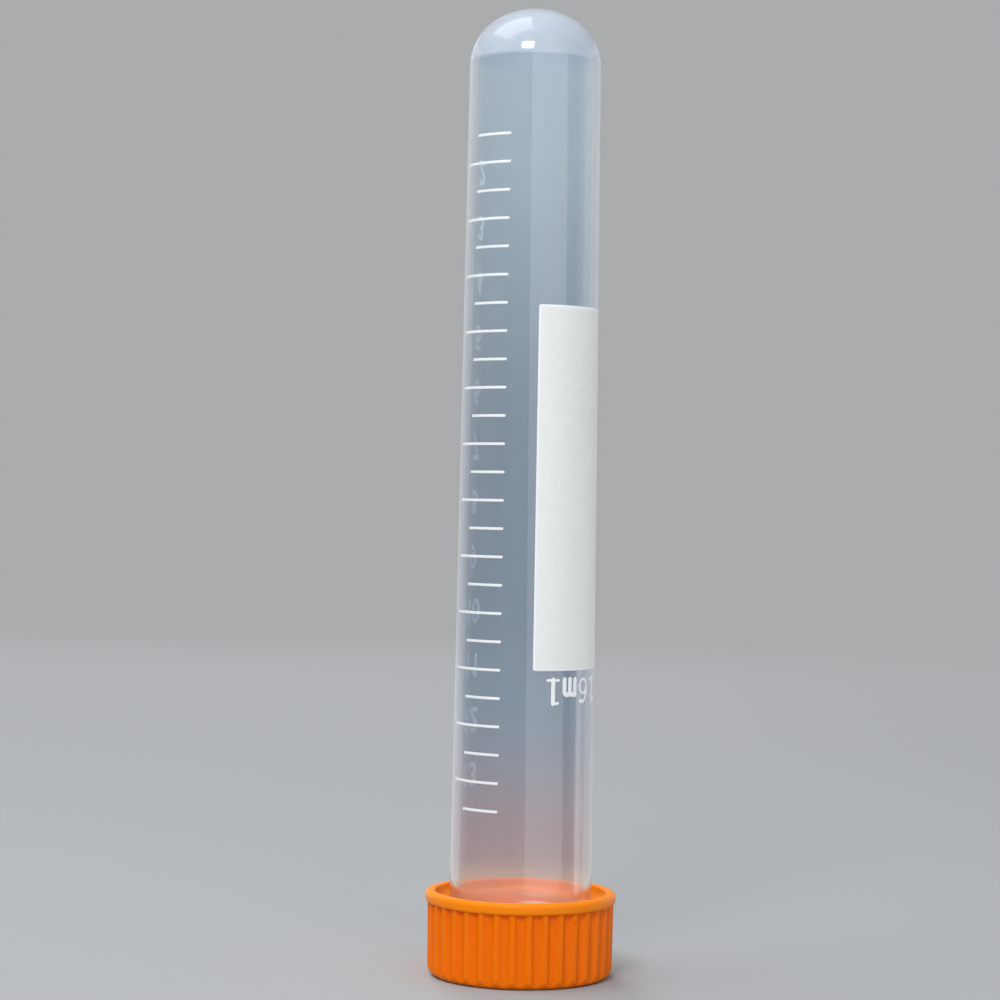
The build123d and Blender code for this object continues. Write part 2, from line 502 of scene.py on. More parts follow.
@dataclass(frozen=True)
class MouldedPlastic:
    """Opaque coloured moulding with a satin skin, worn a little on its raised edges. It has
    painted shade in its hollows and a painted highlight on its rim.
    """

    colour: Colour
    # A darker tone, used for the random mottle and for the painted shade in the hollows.
    mottle_and_hollow_shade: Colour
    worn: Colour
    # Painted highlight on the rim.
    rim: Colour
    roughness: float
    glow: float
    gloss: float = 0.5
    glow_radius: Colour = (1.0, 0.35, 0.1)
    glow_depth: float = 0.8 * MM
    attribute: str = ""
    cloud_grain: Grain = Grain(120.0, detail=4.0)
    cloud_floor: float = 0.3
    cloud_share: float = 0.8
    cloud_roughness: float = 0.15
    skin_grain: Grain = Grain(2400.0, detail=4.0)
    scuff_grain: Grain = Grain(700.0, (1.0, 1.0, 0.2), 5.0)
    scuff_from: float = 0.58
    scuff_to: float = 0.72
    scuff_roughness: float = 0.12
    painted_hollow_shade_share: float = 0.35
    worn_from: float = 0.8
    worn_share: float = 0.05
    scuffed_share: float = 0.3
    painted_rim_highlight_share: float = 0.6
    scuff_height: float = 0.6
    skin_bump: float = 0.35
    skin_depth: float = 0.008 * MM

    def material(self, name: str) -> Material:
        """Builds the material.

        The attribute, where one is named, is 0 in the hollows, 1 on the raised edges and
        RIM_MARK on the rim. It darkens the hollows as painted shade and lightens the rim as a
        painted highlight.

        Args:
            name: the material's name.

        Returns:
            The material.
        """
        sheet = ShaderSheet(name)
        cloud = sheet.noise(self.cloud_grain)
        grain = sheet.noise(self.skin_grain)
        scuff = sheet.noise(self.scuff_grain).ramp(self.scuff_from, self.scuff_to)
        share = (cloud - self.cloud_floor) * self.cloud_share
        colour = sheet.blend(share, self.colour, self.mottle_and_hollow_shade)
        if self.attribute:
            raised = sheet.attribute(self.attribute)
            # Painted shade: darker towards the bottom of the grooves.
            colour = sheet.blend((1.0 - raised) * self.painted_hollow_shade_share, colour, self.mottle_and_hollow_shade)
            worn = raised.ramp(self.worn_from, 1.0)
            share = worn * (self.worn_share + scuff * self.scuffed_share)
            colour = sheet.blend(share, colour, self.worn)
            # Painted highlight: lighter, yellower colour on the mouth and rim.
            colour = sheet.blend(raised.ramp(1.0, RIM_MARK) * self.painted_rim_highlight_share, colour, self.rim)
        normal = sheet.bump(grain + scuff * self.scuff_height, self.skin_bump, self.skin_depth)
        rough = self.roughness + (cloud - 0.5) * self.cloud_roughness
        shader = sheet.principled(
            Base_Color=colour,
            Roughness=rough + scuff * self.scuff_roughness,
            Subsurface_Weight=self.glow,
            Subsurface_Radius=self.glow_radius,
            Subsurface_Scale=self.glow_depth,
            IOR=REFRACTION,
            Specular_IOR_Level=self.gloss,
            Normal=normal,
        )
        return sheet.show(shader)


@dataclass(frozen=True)
class ScreenInk:
    """Matt printing ink, a touch thinner where the screen held less of it. Light comes
    through its thin film.
    """

    colour: Colour = (0.93, 0.95, 0.97)
    thin: Colour = (0.80, 0.84, 0.88)
    edge: Colour = (0.95, 0.96, 0.98)
    roughness: float = 0.5
    film: float = 0.05 * MM
    edge_attribute: str = ""
    mottle_grain: Grain = Grain(900.0, detail=4.0)
    mottle_from: float = 0.45
    mottle_to: float = 0.75
    mottle_share: float = 0.6
    mottle_roughness: float = 0.2
    skin_grain: Grain = Grain(5200.0)
    skin_bump: float = 0.4
    skin_depth: float = 0.01 * MM

    def material(self, name: str) -> Material:
        """Builds the material. The attribute, where one is named, is 1 along the print's edge.

        Args:
            name: the material's name.

        Returns:
            The material.
        """
        sheet = ShaderSheet(name)
        mottle = sheet.noise(self.mottle_grain)
        grain = sheet.noise(self.skin_grain)
        share = mottle.ramp(self.mottle_from, self.mottle_to) * self.mottle_share
        colour = sheet.blend(share, self.colour, self.thin)
        if self.edge_attribute:
            colour = sheet.blend(sheet.attribute(self.edge_attribute), colour, self.edge)
        shader = sheet.principled(
            Base_Color=colour,
            Roughness=self.roughness + (mottle - 0.5) * self.mottle_roughness,
            Subsurface_Weight=1.0,
            Subsurface_Radius=(1.0, 1.0, 1.0),
            Subsurface_Scale=self.film,
            Normal=sheet.bump(grain + mottle, self.skin_bump, self.skin_depth),
        )
        return sheet.show(shader)


@dataclass(frozen=True)
class StudioPaper:
    """Plain pale paper with a faint grain, which fades into the backdrop's tone far away."""

    colour: Colour = (0.365, 0.375, 0.385)
    paler: float = 1.03
    backdrop: Colour = (0.40, 0.41, 0.42)
    fade_from: float = 0.10
    fade_to: float = 0.80
    fibre_grain: Grain = Grain(900.0, detail=3.0)
    roughness: float = 0.8

    def material(self, name: str) -> Material:
        """Builds the floor's material.

        Args:
            name: the material's name.

        Returns:
            The material.
        """
        sheet = ShaderSheet(name)
        fibre = sheet.noise(self.fibre_grain)
        pale = tuple(channel * self.paler for channel in self.colour)
        colour = sheet.blend(fibre, self.colour, pale)
        paper = sheet.principled(
            Base_Color=colour, Roughness=self.roughness, Specular_IOR_Level=0.0
        )
        place = {0: sheet.place()}
        distance = sheet.node("VectorMath", {"operation": "LENGTH"}, place, output="Value")
        tone = {"Color": (*self.backdrop, 1.0), "Strength": 1.0}
        far = sheet.node("Emission", inputs=tone)
        share = distance.ramp(self.fade_from, self.fade_to) * sheet.seen()
        return sheet.show(sheet.mix(share, paper, far))

    def world(self, name: str, light: Colour, strength: float) -> bpy.types.World:
        """The room: the backdrop's tone where it is seen, and an even light on the rest.

        Args:
            name: the world's name.
            light: the even light's colour.
            strength: the even light's strength.

        Returns:
            The world.
        """
        sheet = ShaderSheet(name, for_world=True)
        room = sheet.node("Background", inputs={"Color": (*light, 1.0), "Strength": strength})
        tone = {"Color": (*self.backdrop, 1.0), "Strength": 1.0}
        backdrop = sheet.node("Background", inputs=tone)
        return sheet.show(sheet.mix(sheet.seen(), room, backdrop))


# --- tube ------------------------------------------------------------------------------


@dataclass
class Thread:
    """A screw thread's form and where it runs.

    The crest's middle climbs one pitch each turn: height = start + pitch * turns, where
    turns counts from +X. It lies between low and high.
    """

    start: float
    low: float
    high: float
    pitch: float = 3.0 * MM
    depth: float = 0.8 * MM
    crest_width: float = 0.6 * MM
    flank_degrees: float = 30.0
    run_out: float = 0.06

    def rise(self, height: Array, angle: Array) -> Array:
        """How far the thread stands out of its wall.

        The nearest turn's middle is found by rounding (height - start) / pitch - angle / 2pi.
        The form is depth times a trapezoid of the distance from it along Z, and fades
        over run_out turns at each end.

        Args:
            height: heights, rows by 1.
            angle: angles of the columns, counterclockwise from +X.

        Returns:
            Distance out of the wall, rows by columns.
        """
        turns = angle / FULL_TURN
        nearest = np.round((height - self.start) / self.pitch - turns) + turns
        middle = self.start + self.pitch * nearest
        half_crest = self.crest_width / 2.0
        flank = self.depth * math.tan(math.radians(self.flank_degrees))
        form = np.clip((half_crest + flank - np.abs(height - middle)) / flank, 0.0, 1.0)
        half_fade = self.pitch * self.run_out / 2
        inside = Form.ramp(middle, self.low - half_fade, self.low + half_fade)
        inside = inside * (1.0 - Form.ramp(middle, self.high - half_fade, self.high + half_fade))
        return self.depth * form * inside


@dataclass
class Tube:
    """The tube: a drafted barrel with a domed end, an open lip and an outside thread."""

    low: Vector
    high: Vector
    wall: float = 1.0 * MM
    barrel_end_radius: float = 7.675 * MM
    dome_height: float = 6.2 * MM
    dome_lean_degrees: float = 6.0
    crown_reach_degrees: float = 29.0
    lip_round: float = 0.3 * MM
    thread_set_back: float = 2.0 * MM
    thread_turns: float = 1.25
    corner_row: float = 0.08 * MM
    columns: int = 256
    dome_rows: int = 44
    inner_dome_rows: int = 36
    barrel_rows: int = 30
    neck_rows: int = 76
    lip_rows: int = 6

    def __post_init__(self) -> None:
        """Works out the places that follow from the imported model's box."""
        self.lip_height = self.low.z
        self.tip_height = self.high.z
        self.barrel_end = self.tip_height - self.dome_height
        start = self.lip_height + self.thread_set_back
        self.thread = Thread(start=start, low=start, high=start)
        self.thread.high = start + self.thread.pitch * self.thread_turns
        self.lip_radius = self.high.x - self.thread.depth

    def barrel_radius(self, height: Array) -> Array:
        """Outer radius of the drafted barrel, a straight line between the lip and the dome."""
        share = (height - self.lip_height) / (self.barrel_end - self.lip_height)
        return self.lip_radius + (self.barrel_end_radius - self.lip_radius) * share

    def on_barrel(self, azimuth: Array, height: Array, lift: Array) -> Array:
        """Points (r sin azimuth, -r cos azimuth, height), lift out of the barrel's face."""
        radius = self.barrel_radius(height) + lift
        return np.stack([radius * np.sin(azimuth), -radius * np.cos(azimuth), height], axis=-1)

    def dome_profile(self, inset: float, count: int) -> Array:
        """The dome, from its tip down to the barrel's end.

        A flat crown arc about a centre on the axis meets a tighter shoulder arc. With the
        shoulder's radius s and the crown's s + d, they span the dome when
        s cos(lean) + d sin(reach) = radius and s (1 - sin(lean)) + d (1 - cos(reach)) = height.

        Args:
            inset: how far the profile lies inside the outer face.
            count: how many points it has.

        Returns:
            Points (r, z).
        """
        lean, reach = math.radians(self.dome_lean_degrees), math.radians(self.crown_reach_degrees)
        across = [[math.cos(lean), math.sin(reach)], [1 - math.sin(lean), 1 - math.cos(reach)]]
        shoulder, extra = np.linalg.solve(across, [self.barrel_end_radius, self.dome_height])
        meet, half = 90.0 - self.crown_reach_degrees, count // 2
        crown_middle = (0.0, self.tip_height - shoulder - extra)
        shoulder_middle = (
            self.barrel_end_radius - shoulder * math.cos(lean),
            self.barrel_end - shoulder * math.sin(lean),
        )
        crown = Form.arc(crown_middle, shoulder + extra - inset, 90.0, meet, half)
        lean_end, rest = self.dome_lean_degrees, count - half + 1
        bend = Form.arc(shoulder_middle, shoulder - inset, meet, lean_end, rest)
        return np.concatenate([crown, bend[1:]])

    def body(self) -> Object:
        """The whole moulding: down its outside from the tip, over the lip and up its inside.

        The surface is the profile turned about Z, and the thread is added to the
        outside's radius.

        Returns:
            The piece.
        """
        angle = Form.round_angles(self.columns)
        neck_top = self.thread.high + self.thread.pitch / 2
        chamfer = self.lip_round
        edge = self.lip_height + chamfer
        top = self.barrel_end - self.corner_row
        neck = (self.barrel_radius(neck_top), neck_top)
        outer = np.concatenate([
            self.dome_profile(0.0, self.dome_rows),
            Form.line((self.barrel_radius(top), top), neck, self.barrel_rows),
            Form.line(neck, (self.lip_radius, edge), self.neck_rows)[1:],
            Form.arc((self.lip_radius - chamfer, edge), chamfer, 0.0, -90.0, self.lip_rows)[1:],
        ])
        inner_radius = self.lip_radius - self.wall
        inner_dome = self.dome_profile(self.wall, self.inner_dome_rows)[::-1]
        inside = [
            Form.arc((inner_radius + chamfer, edge), chamfer, -90.0, -180.0, self.lip_rows),
            Form.line((inner_radius, edge), (inner_dome[0, 0], top), self.barrel_rows)[1:],
            inner_dome,
        ]
        profile = np.concatenate([outer, *inside])
        radius = profile[:, :1] * np.ones((1, self.columns))
        rise = self.thread.rise(profile[: len(outer), 1:], angle)
        radius[: len(outer)] += rise * Form.ramp(outer[:, 1:], edge, self.lip_height + 2 * chamfer)
        surface = ClosedSurface()
        surface.add(Form.turned(radius, profile[:, 1:], angle))
        return surface.piece("tube_body", sharp_degrees=38.0)

    def dress(self, piece: Object, barrel: MilkyPlastic, dome: MilkyPlastic) -> None:
        """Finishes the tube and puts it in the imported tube's place.

        Args:
            piece: the tube.
            barrel: the finish up to the barrel's end.
            dome: the finish beyond it.
        """
        mesh = piece.data
        mesh.materials.append(barrel.material("milky_barrel"))
        mesh.materials.append(dome.material("milky_dome"))
        middles = np.empty(3 * len(mesh.polygons))
        mesh.polygons.foreach_get("center", middles)
        on_dome = middles[2::3] > self.barrel_end
        mesh.polygons.foreach_set("material_index", on_dome.astype(np.int32))
        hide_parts("tube")
        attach(piece, Body.TUBE.value)


# --- print -----------------------------------------------------------------------------


class Face(Enum):
    """The two letterings of the print."""

    PLAIN = "plain"
    SLAB = "slab"


Strokes = list[tuple[Array, float]]


class Lettering:
    """Strokes of digits and of the letters m and l, in a frame one capital high with x along
    the reading line. Each stroke is a path with its share of the lettering's stroke width.
    """

    NO_LENGTH = 1e-9
    PLAIN_BREADTH = np.array([1.3, 1.0])
    RUN_STEPS = 5
    BOW_POINTS = 20

    @classmethod
    def through(cls, *points: Spot) -> Array:
        """Straight runs through the points, in even steps: a + (b - a) * share.

        Args:
            points: the runs' ends.

        Returns:
            The path's points (x, y).
        """
        corners = np.array(points)
        share = np.linspace(0.0, 1.0, cls.RUN_STEPS + 1)[:-1, None]
        runs = [a + (b - a) * share for a, b in zip(corners[:-1], corners[1:])]
        return np.concatenate([*runs, corners[-1:]])

    @classmethod
    def bow(cls, middle: Spot, halves: Spot, start: float, end: float) -> Array:
        """Part of an oval about its middle, from start to end in degrees."""
        return Form.oval(middle, halves, start, end, cls.BOW_POINTS)

    @classmethod
    def slab(cls) -> dict[str, Strokes]:
        """Heavy characters with feet, for the capacity.

        Returns:
            The strokes of each character.
        """
        through, bow, join = cls.through, cls.bow, np.concatenate
        six_back = [bow((0.40, 0.46), (0.35, 0.50), 95, 180), through((0.05, 0.46), (0.05, 0.28))]
        arches = [
            join([bow((x, 0.50), (0.14, 0.13), 180, 0), through((x + 0.14, 0.50), (x + 0.14, 0.0))])
            for x in (0.22, 0.50)
        ]
        return {
            "1": [
                (through((0.25, 0.0), (0.25, 0.96)), 1.4),
                (through((0.04, 0.80), (0.20, 0.94)), 0.9),
                (through((0.02, 0.02), (0.48, 0.02)), 0.8),
            ],
            "6": [
                (bow((0.29, 0.30), (0.24, 0.29), 0, 360), 0.9),
                (join(six_back), 1.0),
                (through((0.36, 0.93), (0.50, 0.90)), 1.3),
            ],
            "m": [(through((0.08, 0.0), (0.08, 0.64)), 1.6), *((arch, 1.6) for arch in arches)],
            "l": [
                (through((0.25, 0.0), (0.25, 0.98)), 1.45),
                (through((0.02, 0.97), (0.22, 0.98)), 0.9),
                (through((0.0, 0.03), (0.50, 0.03)), 0.9),
            ],
        }

    @classmethod
    def plain(cls) -> dict[str, Strokes]:
        """Thin digits, for the scale.

        Returns:
            The strokes of each character.
        """
        through, bow, join = cls.through, cls.bow, np.concatenate
        six_back = [bow((0.34, 0.46), (0.30, 0.52), 80, 180), through((0.04, 0.46), (0.04, 0.30))]
        six = [bow((0.27, 0.30), (0.23, 0.30), 0, 360), join(six_back)]
        two_foot = through((0.46, 0.59), (0.02, 0.0), (0.52, 0.0))
        five_top = through((0.48, 1.0), (0.10, 1.0), (0.06, 0.55))
        paths = {
            "0": [bow((0.27, 0.50), (0.23, 0.50), 0, 360)],
            "1": [through((0.08, 0.82), (0.28, 1.00), (0.28, 0.0))],
            "2": [join([bow((0.27, 0.74), (0.23, 0.26), 165, -35), two_foot])],
            "3": [
                bow((0.25, 0.75), (0.21, 0.25), 150, -90),
                bow((0.25, 0.26), (0.25, 0.26), 90, -150),
            ],
            "4": [through((0.54, 0.28), (0.0, 0.28), (0.38, 1.0), (0.38, 0.0))],
            "5": [join([five_top, bow((0.26, 0.32), (0.24, 0.32), 140, -150)])],
            "6": six,
            "7": [through((0.02, 1.0), (0.52, 1.0), (0.18, 0.0))],
            "8": [
                bow((0.27, 0.76), (0.19, 0.24), 0, 360),
                bow((0.27, 0.27), (0.24, 0.27), 0, 360),
            ],
            "9": [np.array([0.54, 1.0]) - stroke for stroke in six],
        }
        return {
            character: [(path * cls.PLAIN_BREADTH, 1.0) for path in strokes]
            for character, strokes in paths.items()
        }

    @classmethod
    def strokes(cls, face: Face, character: str) -> Strokes:
        """A character's strokes, moved sideways so that its middle is at x = 0.

        Args:
            face: the lettering.
            character: one digit, m or l.

        Returns:
            Its strokes.
        """
        strokes = (cls.slab() if face is Face.SLAB else cls.plain())[character]
        across = np.concatenate([path[:, 0] for path, _ in strokes])
        middle = np.array([(across.min() + across.max()) / 2, 0.0])
        return [(path - middle, share) for path, share in strokes]

    @classmethod
    def inked(cls, strokes: Strokes, width: float, step: float) -> tuple[Array, Array]:
        """A grid over a character that follows the edge of its ink.

        The reach of a point is its distance from the nearest stroke's middle over half that
        stroke's width. A point beyond the edge, with a reach over 1, moves back on to it:
        middle + (point - middle) / reach.

        Args:
            strokes: the character's strokes.
            width: the lettering's stroke width, in capital heights.
            step: the grid's step, in capital heights.

        Returns:
            The points, rows by columns by 2, and their reach.
        """
        starts = np.concatenate([path[:-1] for path, _ in strokes])
        ends = np.concatenate([path[1:] for path, _ in strokes])
        halves = [np.full(len(path) - 1, share * width / 2) for path, share in strokes]
        half = np.concatenate(halves)
        edge = half.max() + step
        low = np.minimum(starts, ends).min(axis=0) - edge
        high = np.maximum(starts, ends).max(axis=0) + edge
        sides = [np.arange(first, last, step) for first, last in zip(low, high)]
        grid = np.stack(np.meshgrid(*sides), axis=-1)
        offset, run = grid[:, :, None] - starts, ends - starts
        square = np.maximum((run**2).sum(axis=-1), cls.NO_LENGTH)
        along = np.clip((offset * run).sum(axis=-1) / square, 0.0, 1.0)
        away = offset - run * along[..., None]
        reach = np.linalg.norm(away, axis=-1) / half
        best = reach.argmin(axis=-1)[..., None]
        reach = np.take_along_axis(reach, best, axis=-1)
        away = np.take_along_axis(away, best[..., None], axis=2)[:, :, 0]
        drawn = grid + away * (1.0 / np.maximum(reach, 1.0) - 1.0)
        return drawn, reach[..., 0]


@dataclass(frozen=True)
class TextStyle:
    """How a line of text is set: its lettering, height, stroke and degrees per character."""

    face: Face
    height: float
    stroke: float
    advance_degrees: float


@dataclass
class Print:
    """The white print on the barrel: scale lines, their numbers, the writing patch and the
    capacity. It reads upright when the cap is on top.
    """

    tube: Tube
    thickness: float = 0.035 * MM
    sharp_degrees: float = 80.0
    first_line_below_tip: float = 15.5 * MM
    line_step: float = 3.2383 * MM
    line_count: int = 25
    line_width: float = 0.31 * MM
    line_points: int = 38
    line_sides: int = 10
    line_widths_per_tip: float = 3.0
    line_start_degrees: float = -20.5
    short_end_degrees: float = -57.0
    long_end_degrees: float = -74.0
    lowest_number: int = 2
    number_middle_degrees: float = -114.5
    number_below_line: float = 0.2 * MM
    number_style: TextStyle = TextStyle(Face.PLAIN, 2.45 * MM, 0.58 * MM, 17.5)
    letter_step: float = 0.05 * MM
    letter_brim: float = 0.98
    letter_floor: float = 0.1
    capacity: str = "16ml"
    capacity_foot: float = 35.1 * MM
    capacity_first_degrees: float = 71.5
    capacity_style: TextStyle = TextStyle(Face.SLAB, 2.8 * MM, 0.34 * MM, 16.1)
    patch_low: float = 36.1 * MM
    patch_high: float = 78.0 * MM
    patch_left_degrees: float = 6.0
    patch_right_degrees: float = 89.0
    patch_corner: float = 0.25 * MM
    patch_edge: float = 0.30 * MM
    patch_corner_points: int = 8
    patch_side_points: int = 42
    patch_rings: tuple[Span, ...] = ((0.0, 0.93, 22), (0.94, 0.999, 12), (1.0, 1.0, 1))
    patch_fullness: int = 200

    def line_height(self, number: int) -> float:
        """Height of a scale line. Line 0 is nearest the dome and a step is half a millilitre."""
        return self.tube.tip_height - self.first_line_below_tip - number * self.line_step

    def bead(self, end_degrees: float, height: float) -> Array:
        """A bead of ink round the barrel at one height, from line_start_degrees.

        Its section is a flat oval, line_width high and thickness deep:
        (thickness (1 + s sin t) / 2, -s cos t line_width / 2). The swell s is 1, and falls
        as a quarter circle to 0 at each end.

        Args:
            end_degrees: where the bead ends.
            height: its middle's height.

        Returns:
            A grid of points for ClosedSurface.
        """
        ends = np.radians([self.line_start_degrees, end_degrees])
        start, end = ends * self.tube.barrel_radius(height)
        share = Form.ramp(np.linspace(0.0, 1.0, self.line_points), 0.0, 1.0)[:, None]
        along = (start - end) * share
        to_end = np.minimum(along, start - end - along)
        tip = np.clip(to_end / (self.line_width / self.line_widths_per_tip), 0.0, 1.0)
        swell = np.sqrt(1.0 - (1.0 - tip) ** 2)
        turn = Form.round_angles(self.line_sides)[::-1]
        high = height - swell * np.cos(turn) * self.line_width / 2
        lift = self.thickness * (0.5 + 0.5 * swell * np.sin(turn))
        return self.tube.on_barrel((start - along) / self.tube.barrel_radius(high), high, lift)

    def write(
        self, surface: ClosedSurface, text: str, style: TextStyle, first: float, foot: float
    ) -> None:
        """Adds a line of text that reads upright with the cap on top.

        Each character is a lens: its lift falls from thickness along the strokes' middles
        to almost nothing at their edge, as root(1 - reach^2).

        Args:
            surface: takes the strokes.
            text: digits, m and l.
            style: how the text is set.
            first: azimuth of the first character's middle, in degrees.
            foot: height of the characters' feet, which lie above their heads.
        """
        size = style.height
        for place, character in enumerate(text):
            strokes = Lettering.strokes(style.face, character)
            spot, reach = Lettering.inked(strokes, style.stroke / size, self.letter_step / size)
            inside = reach < 1.0
            kept = inside[:-1, :-1] | inside[:-1, 1:] | inside[1:, :-1] | inside[1:, 1:]
            height = foot - spot[..., 1] * size
            turn = spot[..., 0] * size / self.tube.barrel_radius(height)
            azimuth = math.radians(first - place * style.advance_degrees) - turn
            swell = np.sqrt(1.0 - np.minimum(reach, self.letter_brim) ** 2)
            low, rest = self.letter_floor, 1.0 - self.letter_floor
            lower = self.tube.on_barrel(azimuth, height, self.thickness * low)
            upper = self.tube.on_barrel(azimuth, height, self.thickness * (low + rest * swell))
            surface.add_lens(upper, lower, kept)

    def scale(self) -> Object:
        """The scale lines, short for a half and long for a whole millilitre.

        Returns:
            The piece.
        """
        surface = ClosedSurface()
        for number in range(self.line_count):
            end = self.long_end_degrees if number % 2 else self.short_end_degrees
            surface.add(self.bead(end, self.line_height(number)))
        return surface.piece("scale_lines", self.sharp_degrees)

    def numbers(self) -> Object:
        """The whole millilitres, each centred on its long line.

        Returns:
            The piece.
        """
        surface = ClosedSurface()
        style = self.number_style
        for number in range(1, self.line_count, 2):
            text = str(self.lowest_number + number // 2)
            first = self.number_middle_degrees + style.advance_degrees * (len(text) - 1) / 2
            foot = self.line_height(number) + style.height / 2 - self.number_below_line
            self.write(surface, text, style, first, foot)
        return surface.piece("scale_numbers", self.sharp_degrees)

    def capacity_mark(self) -> Object:
        """The capacity under the writing patch.

        Returns:
            The piece.
        """
        surface = ClosedSurface()
        first, foot = self.capacity_first_degrees, self.capacity_foot
        self.write(surface, self.capacity, self.capacity_style, first, foot)
        return surface.piece("capacity_mark", self.sharp_degrees)

    def patch(self) -> Object:
        """The matt writing patch, a thin pillow on the barrel.

        Each ring of the grid is the patch's rounded outline shrunk towards its middle:
        outwards over the face and back again underneath. At the share s of the outline the
        face's lift is thickness times root(1 - s^fullness).

        Returns:
            The piece.
        """
        left, right = math.radians(self.patch_left_degrees), math.radians(self.patch_right_degrees)
        tall = self.patch_high - self.patch_low
        half = np.array([(right - left) / 2 * self.tube.barrel_end_radius, tall / 2])
        corner = self.patch_corner
        x, y = half - corner
        middles = ((x, -y, 0.0), (x, y, 90.0), (-x, y, 180.0), (-x, -y, 270.0))
        arcs = [
            Form.arc((x, y), corner, turn - 90.0, turn, self.patch_corner_points)
            for x, y, turn in middles
        ]
        sides = [
            Form.line(a[-1], b[0], self.patch_side_points)[1:-1]
            for a, b in zip(arcs, arcs[1:] + arcs[:1])
        ]
        outline = np.concatenate([part for pair in zip(arcs, sides) for part in pair])
        size = np.concatenate([np.linspace(*span) for span in self.patch_rings])
        size = np.concatenate([size, size[-2::-1]])
        upper = np.arange(len(size)) < len(size) // 2
        lift = np.where(upper, self.thickness * np.sqrt(1.0 - size**self.patch_fullness), 0.0)
        grid = outline[None] * size[:, None, None]
        inset = (half - np.abs(grid)).min(axis=-1)
        edge = 1.0 - Form.ramp(inset, self.patch_edge * 0.5, self.patch_edge)
        azimuth = (left + right) / 2 + grid[..., 0] / self.tube.barrel_end_radius
        height = (self.patch_low + self.patch_high) / 2 + grid[..., 1]
        surface = ClosedSurface()
        surface.add(self.tube.on_barrel(azimuth, height, lift[:, None]), edge)
        return surface.piece("writing_patch", self.sharp_degrees, attribute="edge")

    def dress(self, piece: Object, material: Material) -> None:
        """Inks a printed piece and lets it ride on the tube.

        Args:
            piece: the printed piece.
            material: its ink.
        """
        piece.data.materials.append(material)
        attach(piece, Body.TUBE.value)


# --- cap and disc ----------------------------------------------------------------------


